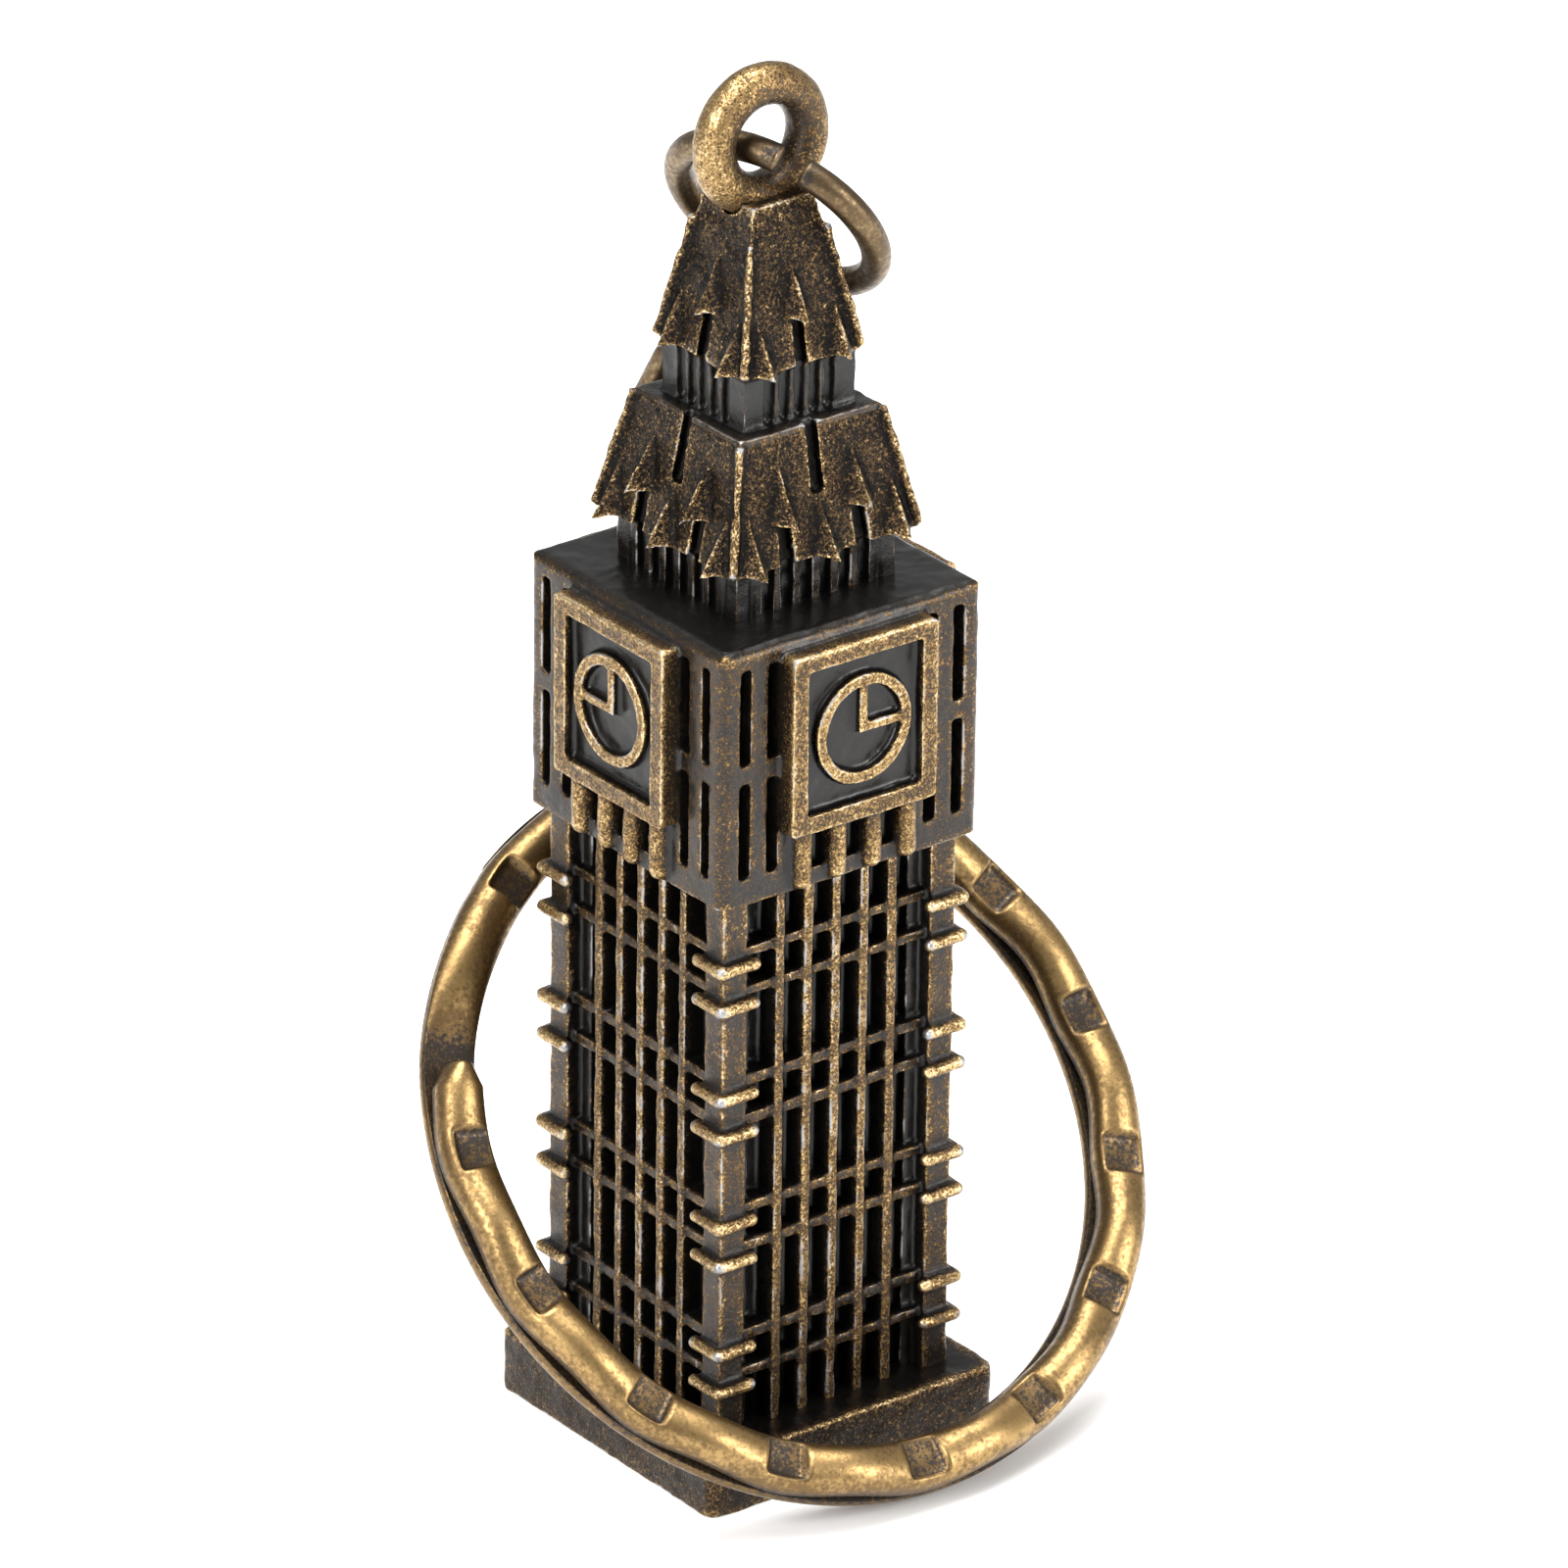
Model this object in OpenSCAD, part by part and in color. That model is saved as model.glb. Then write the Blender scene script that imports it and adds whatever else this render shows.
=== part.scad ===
// Clock tower keychain: a cast tower on its plinth, with a hanging eye, a jump ring,
// a short chain and a split key ring that lies round the tower.
// Millimetres, +Z up. The origin is the centre of the plinth's underside.

/* [Plinth] */
// Half width of the plinth
plinth_half = 6.75; // [6.6:0.05:6.9]
// Height of the plinth
plinth_h = 2.5; // [2.3:0.05:2.7]

/* [Shaft] */
// Height of the shaft's top, where the clock stage starts
shaft_top = 24.7; // [24.5:0.1:24.9]
// Half width over the corner pilasters
pilaster_half = 5.4; // [5.3:0.05:5.5]
// Width of one pilaster on each face
pilaster_w = 1.15; // [1:0.05:1.3]
// Half width of the core behind the openings
core_half = 4.25; // [4.15:0.05:4.3]
// Height from one pair of bands to the next
band_pitch = 5.3; // [5.2:0.05:5.4]
// Distance from a pair's middle to each of its bands
band_offset = 0.8; // [0.7:0.05:0.9]
// Radius of one band's round bar
band_r = 0.28; // [0.24:0.01:0.32]
// How far a band stands out of its pilaster
band_out = 0.45; // [0.38:0.01:0.5]
// Distance between the window ribs
rib_pitch = 1.3; // [1.2:0.05:1.35]
// Width of a window rib
rib_w = 0.44; // [0.3:0.02:0.5]

/* [Clock stage] */
// Half width of the clock stage
stage_half = 6; // [5.95:0.05:6.1]
// Height of the clock stage's flat top
stage_top = 35.05; // [34.9:0.05:35.2]
// Half width of a clock frame
frame_half = 3.36; // [3.2:0.04:3.4]
// Width of a frame bar
frame_bar = 0.75; // [0.6:0.05:0.85]
// How far a frame stands out of the stage
frame_out = 0.8; // [0.6:0.05:0.8]
// How far the panel behind a dial stands out of the stage
panel_out = 0.35; // [0.3:0.05:0.5]
// Outer radius of a dial ring
dial_r = 2.2; // [2:0.05:2.3]
// Width of the dial ring's rim
dial_rim = 0.48; // [0.35:0.02:0.6]

/* [Roofs] */
// Half width of the belfry, over its colonnettes
belfry_half = 3.7; // [3.6:0.05:3.8]
// Height of the lower roof's eaves
roof_base = 36.94; // [36.8:0.02:37.1]
// Height of the lower roof's top
roof_top = 41.9; // [41.7:0.05:42]
// Height of the spire's eaves
spire_base = 43.9; // [43.8:0.05:44]
// Height of the spire's cut top
spire_top = 50.05; // [49.9:0.05:50.1]
// Height of a dormer
dormer_h = 2.1; // [1.8:0.05:2.2]

/* [Rings and chain] */
// Radius of the hanging eye, to the middle of its bar
eye_r = 2.12; // [2.1:0.01:2.15]
// Radius of the hanging eye's bar
eye_wire_r = 0.82; // [0.78:0.01:0.84]
// Radius of the jump ring, to the middle of its wire
jump_r = 4.06; // [4.05:0.01:4.1]
// Radius of the jump ring's wire
jump_wire_r = 0.56; // [0.5:0.01:0.57]
// Radius of the chain's wire
link_wire_r = 0.45; // [0.4:0.01:0.46]
// Inner width of a chain link
link_gap = 2.4; // [2.3:0.05:2.5]
// Outer diameter of the split ring
key_od = 30; // [29.8:0.1:30.2]
// Radial width of the split ring's wire
key_wire_w = 2.05; // [1.9:0.05:2.1]
// Thickness of one coil of the split ring
key_coil_t = 1.46; // [1.3:0.02:1.46]

/* [Hidden] */

$fn = 48;

bronze = [0.42, 0.33, 0.18];
dark_bronze = [0.12, 0.10, 0.08];
ring_bronze = [0.50, 0.40, 0.24];

// Heights of the band pairs, counted up from the floor
band_levels = [for (i = [1 : 4]) i * band_pitch];
// Each window bar runs a little above the band at its level
bar_lift = 0.25;
bar_h = 0.46;
rib_front = 5.25;
bar_front = 5.1;
rib_places = [for (i = [-2 : 2]) i * rib_pitch];
// Root of a pilaster inside the core's cut corner, and the flat strip beside the pilaster
pilaster_root = core_half - 0.6;
strip_front = core_half + 0.5;

stage_h = stage_top - shaft_top;
panel_y = stage_half + panel_out;
frame_low = 27.25;
frame_high = 34.5;
dial_z = (frame_low + frame_high) / 2;
belfry_core = 3.3;
roof_low_half = 4.28;
roof_high_half = 3.22;
spire_low_half = 2.71;
spire_high_half = 1.45;
lantern_half = 2.55;
lantern_core = 2.25;
eye_z = 52.0;

// Half width of a roof at height z, on its sloping face
function slope_half(z, z0, z1, h0, h1) = h0 + (h1 - h0) * (z - z0) / (z1 - z0);
function roof_half(z) = slope_half(z, roof_base, roof_top, roof_low_half, roof_high_half);
function spire_half(z) = slope_half(z, spire_base, spire_top, spire_low_half, spire_high_half);

// Copies its children onto the four faces; the first one looks towards -Y
module each_face() {
    for (turn = [0 : 3])
        rotate([0, 0, 90 * turn]) children();
}

// A box given by its lowest and highest corners
module block(low, high) {
    translate(low) cube(high - low);
}

// A square prism with rounded upright corners
module rounded_prism(half, z0, z1, r) {
    translate([0, 0, z0]) linear_extrude(height = z1 - z0) rounded_square(half, half, r);
}

// A rectangle with rounded corners, centred
module rounded_square(half_x, half_y, r) {
    square([2 * half_x, 2 * (half_y - r)], center = true);
    square([2 * (half_x - r), 2 * half_y], center = true);
    for (sx = [-1, 1], sy = [-1, 1])
        translate([sx * (half_x - r), sy * (half_y - r)]) circle(r);
}

// A square frustum, as the common part of two crossed wedges
module frustum(half0, half1, z0, z1) {
    intersection_for (turn = [0, 90])
        rotate([90, 0, turn]) linear_extrude(height = 4 * half0, center = true)
            polygon([[-half0, z0], [half0, z0], [half1, z1], [-half1, z1]]);
}

// A cut down a sloping face, of width w and depth d, from z0 up to z1
module slope_slot(x, w, d, z0, z1, y0, y1) {
    translate([x - w / 2, 0, 0]) rotate([90, 0, 90]) linear_extrude(height = w)
        polygon([[-y0 - 1, z0], [-y1 - 1, z1], [-y1 + d, z1], [-y0 + d, z0]]);
}

// A small gabled dormer on a sloping face: a peak that widens down to its foot
module dormer(x, foot_z, w, out, y_foot, y_peak, h) {
    polyhedron(
        points = [
            [x, -y_peak, foot_z + h],
            [x - w / 2, -y_foot, foot_z],
            [x + w / 2, -y_foot, foot_z],
            [x, -y_foot - out, foot_z - 0.12]
        ],
        faces = [[0, 2, 1], [0, 1, 3], [0, 3, 2], [1, 2, 3]]
    );
}

// ---- the cast tower ----

module plinth() {
    color(bronze) rounded_prism(plinth_half, 0, plinth_h, 0.5);
}

module shaft_core() {
    color(dark_bronze)
        translate([0, 0, plinth_h]) linear_extrude(height = shaft_top - plinth_h)
            difference() {
                square(2 * core_half, center = true);
                for (sx = [-1, 1], sy = [-1, 1])
                    translate([sx * core_half, sy * core_half])
                        square(2 * (core_half - pilaster_root), center = true);
            }
}

module corner_pilasters() {
    color(bronze) each_face() pilaster_post();
}

// The post at one corner: a square pilaster, and a flat strip set back on each side of it
module pilaster_post() {
    translate([0, 0, plinth_h]) linear_extrude(height = shaft_top - plinth_h) {
        block_2d([pilaster_half - pilaster_w, -pilaster_half],
                 [pilaster_half, pilaster_w - pilaster_half]);
        block_2d([pilaster_root, -strip_front], [strip_front, -pilaster_root]);
    }
}

// A rectangle given by its lowest and highest corners
module block_2d(low, high) {
    translate(low) square(high - low);
}

// One band: two round bars with ball ends, wrapped round a pilaster's outer corner
module band() {
    middle = pilaster_half + band_out - band_r;
    reach = 1.45;
    translate([middle, -middle, 0]) {
        sphere(band_r);
        for (side = [[-1, 0], [0, 1]]) {
            translate([side[0] * reach, side[1] * reach, 0]) sphere(band_r);
            rotate([side[1] * -90, side[0] * 90, 0]) cylinder(h = reach, r = band_r);
        }
    }
}

module pilaster_bands() {
    color(bronze) each_face()
        difference() {
            for (z = band_levels, side = [-1, 1])
                translate([0, 0, z + side * band_offset]) band();
            pilaster_post();
        }
}

// Window ribs and the thin bars that cross them
module window_lattice() {
    reach = pilaster_half - pilaster_w;
    color(bronze) each_face() {
        for (x = rib_places)
            block([x - rib_w / 2, -rib_front, plinth_h], [x + rib_w / 2, -core_half, shaft_top]);
        difference() {
            for (z = band_levels, side = [-1, 1]) {
                bar_z = z + side * band_offset + bar_lift;
                block([-reach, -bar_front, bar_z - bar_h / 2], [reach, -core_half, bar_z + bar_h / 2]);
            }
            for (turn = [0, -90]) rotate([0, 0, turn]) pilaster_post();
        }
    }
}

// Slots beside a clock frame: a narrow one by the corner and a wider one by the frame
module stage_slots() {
    depth = 0.9;
    for (side = [-1, 1], tier = [[25.8, 29.6], [30.4, 34.2]], slot = [[4.68, 5.12], [3.4, 3.88]]) {
        middle = side * (slot[0] + slot[1]) / 2;
        half_w = (slot[1] - slot[0]) / 2;
        block([middle - half_w, -stage_half - 1, tier[0]],
              [middle + half_w, -stage_half + depth, tier[1]]);
    }
}

module clock_stage() {
    edge_r = 0.45;
    mid_z = (shaft_top + stage_top) / 2;
    color(bronze) difference() {
        intersection() {
            rounded_prism(stage_half, shaft_top, stage_top, edge_r);
            // rounds the upper edges, both ways
            side_rounding(mid_z, edge_r);
        }
        each_face() {
            stage_slots();
            // gaps between the corbels
            for (x = [-1.6, 0, 1.6])
                block([x - 0.32, -stage_half - 1, shaft_top + 0.75],
                      [x + 0.32, -stage_half + 0.5, frame_low]);
        }
    }
    // the panels behind the dials
    color(bronze) each_face()
        block([-frame_half + frame_bar, -panel_y, frame_low + frame_bar],
              [frame_half - frame_bar, -stage_half, frame_high - frame_bar]);
}

// The stage's side outline with rounded upper corners, extruded both ways
module side_rounding(mid_z, r) {
    intersection_for (turn = [0, 90])
        rotate([90, 0, turn]) linear_extrude(height = 4 * stage_half, center = true)
            translate([0, mid_z - r]) difference() {
                rounded_square(stage_half, stage_h / 2 + r, r);
                translate([0, -stage_h / 2 - r]) square([4 * stage_half, 2 * r - 0.001], center = true);
            }
}

module clock_frames() {
    mid_z = (frame_low + frame_high) / 2;
    half_h = (frame_high - frame_low) / 2;
    color(bronze) each_face()
        translate([0, -stage_half, mid_z]) rotate([90, 0, 0]) linear_extrude(height = frame_out)
            difference() {
                rounded_square(frame_half, half_h, 0.25);
                square([2 * (frame_half - frame_bar), 2 * (half_h - frame_bar)], center = true);
            }
}

module clock_dials() {
    color(bronze) each_face()
        translate([0, -panel_y, dial_z]) rotate([90, 0, 0]) difference() {
            cylinder(h = 0.4, r = dial_r);
            translate([0, 0, -1]) cylinder(h = 3, r = dial_r - dial_rim);
        }
}

// One hand points up and the other points level, away from the tower's nearest and
// farthest corner edges, so neighbouring faces mirror each other
module clock_hands() {
    color(bronze)
        for (turn = [0 : 3])
            rotate([0, 0, 90 * turn]) mirror([turn % 2, 0, 0])
                translate([0, -panel_y, dial_z]) rotate([90, 0, 0])
                    linear_extrude(height = 0.34) hands_outline(0.4, dial_r - dial_rim);
}

module hands_outline(w, reach) {
    intersection() {
        union() {
            block_2d([-w / 2, -w / 2], [w / 2, reach + 0.2]);
            block_2d([-w / 2, -w / 2], [reach + 0.2, w / 2]);
        }
        circle(reach - 0.005);
    }
}

// Four half-round corbels under each clock frame, with round feet
module frame_corbels() {
    corbel_r = 0.42;
    corbel_y = -stage_half - 0.12;
    foot_z = shaft_top + 0.1 + corbel_r;
    color(bronze) each_face()
        for (x = [-2.4, -0.8, 0.8, 2.4])
            intersection() {
                union() {
                    translate([x, corbel_y, foot_z]) {
                        cylinder(h = frame_low - foot_z, r = corbel_r);
                        sphere(corbel_r);
                    }
                    block([x - corbel_r, corbel_y, foot_z], [x + corbel_r, -stage_half, frame_low]);
                }
                block([-5, -8, shaft_top], [5, -stage_half, frame_low]);
            }
}

// A square core with upright ribs on each face and square corner posts
module ribbed_neck(half, core, z0, z1, count, rib) {
    block([-core, -core, z0], [core, core, z1]);
    pitch = 2 * (half - rib / 2) / (count - 1);
    each_face()
        for (i = [0 : count - 1]) {
            x = -half + rib / 2 + i * pitch;
            block([x - rib / 2, -half, z0], [x + rib / 2, -core + 0.3, z1]);
        }
}

module belfry_neck() {
    color(dark_bronze)
        ribbed_neck(belfry_half, belfry_core, stage_top, roof_base, 9, 0.42);
}

// Slots under the middle dormers and the groove at the top of each face
module lower_roof() {
    color(bronze) difference() {
        frustum(roof_low_half, roof_high_half, roof_base, roof_top);
        each_face() {
            for (x = [-1.7, 1.7])
                slope_slot(x, 0.55, 0.45, roof_base - 0.01, 38.7, roof_half(roof_base), roof_half(38.7));
            slope_slot(0, 0.5, 0.4, 39.3, roof_top + 0.01, roof_half(39.3), roof_half(roof_top));
        }
    }
}

// Round strips along the corners of both roofs
module roof_ridges() {
    ridge_r = 0.2;
    spire_ridge_top = eye_z - eye_r - eye_wire_r - 0.1;
    color(bronze) each_face() {
        ridge(roof_base, roof_top, roof_low_half, roof_high_half, ridge_r);
        ridge(spire_base, spire_ridge_top, spire_low_half, spire_half(spire_ridge_top), ridge_r);
    }
}

// A rod on a roof's corner edge, less the roof itself
module ridge(z0, z1, h0, h1, r) {
    run = sqrt(2) * (h0 - h1);
    lean = atan(run / (z1 - z0));
    length = norm([run, z1 - z0]);
    difference() {
        translate([h0, -h0, z0]) rotate([0, -lean, -45]) translate([0, 0, 0.15])
            cylinder(h = length - 0.3, r = r);
        frustum(h0 + (h0 - h1) / (z1 - z0), h1 - (h0 - h1) / (z1 - z0), z0 - 1, z1 + 1);
    }
}

module lower_roof_dormers() {
    color(bronze) each_face() {
        for (x = [-1.7, 1.7]) roof_dormer(x, 38.6, 1.35);
        for (x = [-3.3, 0, 3.3]) roof_dormer(x, roof_base + 0.1, 1.35);
    }
}

module roof_dormer(x, foot_z, w) {
    dormer(x, foot_z, w, 0.95, roof_half(foot_z), roof_half(foot_z + dormer_h), dormer_h);
}

module lantern_neck() {
    color(dark_bronze)
        ribbed_neck(lantern_half, lantern_core, roof_top, spire_base, 8, 0.32);
}

module spire() {
    color(bronze) difference() {
        frustum(spire_low_half, spire_high_half, spire_base, spire_top);
        each_face()
            slope_slot(0, 0.5, 0.4, spire_base - 0.01, 45.8, spire_half(spire_base), spire_half(45.8));
        eye_bar();
    }
}

module spire_dormers() {
    color(bronze) each_face() {
        spire_dormer(0, 45.8);
        for (x = [-1.75, 1.75]) spire_dormer(x, spire_base + 0.12);
    }
}

module spire_dormer(x, foot_z) {
    dormer(x, foot_z, 1.25, 0.75, spire_half(foot_z), spire_half(foot_z + dormer_h), dormer_h);
}

// The eye's round bar; the spire is hollowed to take its foot
module eye_bar() {
    translate([0, 0, eye_z]) rotate([90, 0, 0])
        rotate_extrude() translate([eye_r, 0]) circle(eye_wire_r);
}

module hanging_eye() {
    color(bronze) eye_bar();
}

// ---- the jump ring, through the eye and round the spire's shoulder ----

jump_centre = [1.68, 1.13, 48.27];
jump_tilt = 56.3;
jump_heading = 20;
// The wire's two ends stand this many degrees round the ring
jump_start = 214;
jump_sweep = 346;

module jump_ring() {
    color(ring_bronze)
        translate(jump_centre) rotate([0, jump_tilt, jump_heading]) rotate([0, 0, jump_start])
            rotate_extrude(angle = jump_sweep) translate([jump_r, 0]) circle(jump_wire_r);
}

// ---- the chain behind the tower ----

// Where each piece hangs on the one before it, from the jump ring down to the connector ring
chain_pivots = [
    [2.35, 3.8, 46.2], [2.5, 5.86, 40.87], [1.97, 8.49, 35.79], [1.68, 9.3, 30.13], [1.4, 9.1, 24.5]
];
// Turn of each link about its own length
link_turns = [-60, 54, 134, 250];
// Distance between the inner ends of a link
link_inner = 5.95;

// An oval link: two straight sides and two round ends, standing in the XZ plane
module oval_link() {
    bend_r = link_gap / 2 + link_wire_r;
    half_straight = link_inner / 2 - link_gap / 2;
    for (side = [-1, 1])
        translate([side * bend_r, 0, 0]) cylinder(h = 2 * half_straight, r = link_wire_r, center = true);
    for (end = [0, 180])
        rotate([0, end, 0]) translate([0, 0, half_straight]) rotate([90, 0, 0])
            rotate_extrude(angle = 180) translate([bend_r, 0]) circle(link_wire_r);
}

// Places a link between two hanging points and turns it about its length
module placed_link(upper, lower, turn) {
    along = upper - lower;
    polar = acos(along[2] / norm(along));
    heading = atan2(along[1], along[0]);
    translate((upper + lower) / 2)
        rotate([0, polar, heading]) rotate([0, 0, turn - heading - 90]) oval_link();
}

module chain_link(i) {
    color(ring_bronze) placed_link(chain_pivots[i - 1], chain_pivots[i], link_turns[i - 1]);
}

module chain_link_1() { chain_link(1); }
module chain_link_2() { chain_link(2); }
module chain_link_3() { chain_link(3); }
module chain_link_4() { chain_link(4); }

connector_r = 2.75;
connector_wire_r = 0.5;

// A small round ring that ties the chain to the split ring
module connector_ring() {
    drop = connector_r - connector_wire_r - 0.05;
    color(ring_bronze)
        translate(chain_pivots[4] - [0, 0, drop]) rotate([0, 90, 0])
            rotate_extrude() translate([connector_r, 0]) circle(connector_wire_r);
}

// ---- the split ring: two flat coils of one half-round wire ----

key_centre = [1.37, -1.01, 12.15];
key_tilt = 46.5;
// Where the upper coil's end lies, and how far round the step down to the lower coil runs
key_start = 155;
key_step = 26;
key_turns = 720 - 32;
key_stations = 116;
key_coil_gap = 0.05;
key_mid_r = (key_od - key_wire_w) / 2;
key_drop = key_coil_t + key_coil_gap;

// A smooth 0 to 1 ramp
function ramp(t) = let (c = min(1, max(0, t))) c * c * (3 - 2 * c);
// Height of the wire at angle a: the upper coil, a step, then the lower coil
function key_level(a) = -key_drop * ramp((a - (360 - key_step)) / key_step);
// The wire narrows at both ends
function key_taper(a) = 0.55 + 0.45 * ramp(min(a, key_turns - a) / 9);
// Section: a rectangle with rounded corners, as radial and axial offsets
key_corner = [[1, 0.3], [0.86, 0.72], [0.5, 1]];
key_section = [
    for (q = key_corner) [q[0], q[1]],
    for (i = [2 : -1 : 0]) [-key_corner[i][0], key_corner[i][1]],
    for (q = key_corner) [-q[0], -q[1]],
    for (i = [2 : -1 : 0]) [key_corner[i][0], -key_corner[i][1]]
];

module split_ring() {
    sides = len(key_section);
    rings = [
        for (s = [0 : key_stations]) let (
            a = key_turns * s / key_stations,
            k = key_taper(a)
        ) [
            for (p = key_section) let (r = key_mid_r + p[0] * k * key_wire_w / 2) [
                r * cos(key_start + a),
                r * sin(key_start + a),
                key_level(a) + p[1] * k * key_coil_t / 2
            ]
        ]
    ];
    points = [for (ring = rings) each ring];
    skin = [
        for (s = [0 : key_stations - 1], i = [0 : sides - 1]) let (
            a = s * sides + i,
            b = s * sides + (i + 1) % sides
        ) each [[a, b, b + sides], [a, b + sides, a + sides]]
    ];
    first = [for (i = [sides - 1 : -1 : 0]) i];
    last = [for (i = [0 : sides - 1]) key_stations * sides + i];
    color(ring_bronze)
        translate(key_centre) rotate([key_tilt, 0, 0])
            polyhedron(points = points, faces = concat([first], skin, [last]));
}

plinth();
shaft_core();
corner_pilasters();
pilaster_bands();
window_lattice();
clock_stage();
clock_frames();
clock_dials();
clock_hands();
frame_corbels();
belfry_neck();
lower_roof();
lower_roof_dormers();
roof_ridges();
lantern_neck();
spire();
spire_dormers();
hanging_eye();
jump_ring();
chain_link_1();
chain_link_2();
chain_link_3();
chain_link_4();
connector_ring();
split_ring();
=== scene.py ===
"""Looks of the clock tower keychain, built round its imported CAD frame."""

import math

import bpy
import numpy as np
from mathutils import Matrix, Vector


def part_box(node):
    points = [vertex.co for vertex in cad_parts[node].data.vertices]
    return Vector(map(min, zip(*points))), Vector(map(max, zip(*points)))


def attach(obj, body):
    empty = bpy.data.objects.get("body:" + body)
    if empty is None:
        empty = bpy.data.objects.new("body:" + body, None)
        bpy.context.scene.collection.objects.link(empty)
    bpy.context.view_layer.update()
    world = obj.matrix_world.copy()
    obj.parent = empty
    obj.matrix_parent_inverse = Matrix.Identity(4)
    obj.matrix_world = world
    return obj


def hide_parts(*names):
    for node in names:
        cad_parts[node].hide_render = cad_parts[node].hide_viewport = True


MM = 0.001
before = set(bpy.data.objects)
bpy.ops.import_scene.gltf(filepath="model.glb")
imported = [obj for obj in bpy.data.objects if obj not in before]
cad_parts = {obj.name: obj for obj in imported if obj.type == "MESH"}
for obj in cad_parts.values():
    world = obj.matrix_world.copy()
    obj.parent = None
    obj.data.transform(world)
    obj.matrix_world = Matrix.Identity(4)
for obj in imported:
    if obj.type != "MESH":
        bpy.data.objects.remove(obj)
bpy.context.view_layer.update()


# ---- small maths ----

def smoothstep(low, high, value):
    t = np.clip((value - low) / (high - low), 0, 1)
    return t * t * (3 - 2 * t)


def lattice_value(i, j, k, seed):
    """A fixed pseudo-random number from -1 to 1 for each whole-number point."""
    h = (i * 374761393 + j * 668265263 + k * 1442695041 + seed * 97531) & 0xFFFFFFFF
    h = ((h ^ (h >> 13)) * 1274126177) & 0xFFFFFFFF
    h = ((h ^ (h >> 16)) * 2246822519) & 0xFFFFFFFF
    return (h & 0xFFFFFF) / 0x7FFFFF - 1


def lumps(points, size, seed):
    """Smooth noise from -1 to 1 whose lumps are about size across; points and size in mm."""
    p = points / size
    base = np.floor(p).astype(np.int64)
    f = p - base
    f = f * f * (3 - 2 * f)
    total = np.zeros(len(points))
    for corner in range(8):
        step = np.array([corner & 1, corner >> 1 & 1, corner >> 2 & 1])
        q = base + step
        weight = np.prod(np.where(step, f, 1 - f), axis=1)
        total += weight * lattice_value(q[:, 0], q[:, 1], q[:, 2], seed)
    return total


def mixed(a, b, share):
    return a + (b - a) * share


def larger_side(co):
    """How far out each point is, by the larger of its distances from the two middle planes."""
    return np.maximum(np.abs(co[:, 0]), np.abs(co[:, 1]))


def smaller_side(co):
    return np.minimum(np.abs(co[:, 0]), np.abs(co[:, 1]))


# ---- meshes ----

def new_mesh_object(name, points, faces):
    """A mesh object from points in metres and faces."""
    mesh = bpy.data.meshes.new(name)
    mesh.from_pydata([tuple(p) for p in points], [], [tuple(f) for f in faces])
    mesh.validate()
    obj = bpy.data.objects.new(name, mesh)
    bpy.context.scene.collection.objects.link(obj)
    return obj


def with_modifiers_applied(obj):
    """Replaces obj's mesh by what its modifiers make of it."""
    graph = bpy.context.evaluated_depsgraph_get()
    mesh = bpy.data.meshes.new_from_object(obj.evaluated_get(graph), depsgraph=graph)
    obj.modifiers.clear()
    obj.data = mesh
    return obj


def coordinates(mesh):
    co = np.empty(len(mesh.vertices) * 3)
    mesh.vertices.foreach_get("co", co)
    return co.reshape(-1, 3)


def set_coordinates(mesh, co):
    mesh.vertices.foreach_set("co", co.ravel())
    mesh.update()


def normals(mesh):
    n = np.empty(len(mesh.vertices) * 3)
    mesh.vertex_normals.foreach_get("vector", n)
    return n.reshape(-1, 3)


def edge_list(mesh):
    e = np.empty(len(mesh.edges) * 2, np.int32)
    mesh.edges.foreach_get("vertices", e)
    return e.reshape(-1, 2)


def diffuse(co, edges, steps, share=0.5):
    """Moves each vertex towards the middle of its neighbours, some times over."""
    n = len(co)
    a, b = edges[:, 0], edges[:, 1]
    degree = np.maximum(np.bincount(a, minlength=n) + np.bincount(b, minlength=n), 1)
    for _ in range(steps):
        middle = np.stack([
            np.bincount(a, co[b, k], n) + np.bincount(b, co[a, k], n) for k in range(3)
        ], 1) / degree[:, None]
        co = co + share * (middle - co)
    return co


def rounded(co, edges, steps):
    """Rounds the edges without shrinking thin features: each step in is followed by one out."""
    step_in, step_out = 0.5, -0.53
    for _ in range(steps):
        co = diffuse(co, edges, 1, step_in)
        co = diffuse(co, edges, 1, step_out)
    return co


def set_attribute(mesh, name, values):
    attribute = mesh.attributes.get(name) or mesh.attributes.new(name, "FLOAT", "POINT")
    attribute.data.foreach_set("value", values.astype(np.float32))


def shade_smooth(mesh):
    mesh.polygons.foreach_set("use_smooth", np.ones(len(mesh.polygons), bool))


# ---- the casting ----

def node_half(node):
    """Half width of a CAD node, in mm."""
    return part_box(node)[1].x / MM


def node_span(node):
    """Lowest and highest z of a CAD node, in mm."""
    low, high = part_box(node)
    return low.z / MM, high.z / MM


def fused_nodes(name, nodes, voxel, sunk=()):
    """One closed mesh fused from CAD nodes. Vertices on a sunk level move down or up into the
    neighbouring section, so that its rounded edge is hidden there."""
    on_level = 0.004
    points, faces, count = [], [], 0
    for node in nodes:
        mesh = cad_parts[node].data
        co = coordinates(mesh) / MM
        for level, shift in sunk:
            co[np.abs(co[:, 2] - level) < on_level, 2] += shift
        points.append(co * MM)
        faces += [[v + count for v in p.vertices] for p in mesh.polygons]
        count += len(co)
    obj = new_mesh_object(name, np.concatenate(points), faces)
    remesh = obj.modifiers.new("fuse", "REMESH")
    remesh.mode = "VOXEL"
    remesh.voxel_size = voxel * MM
    return with_modifiers_applied(obj)


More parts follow.
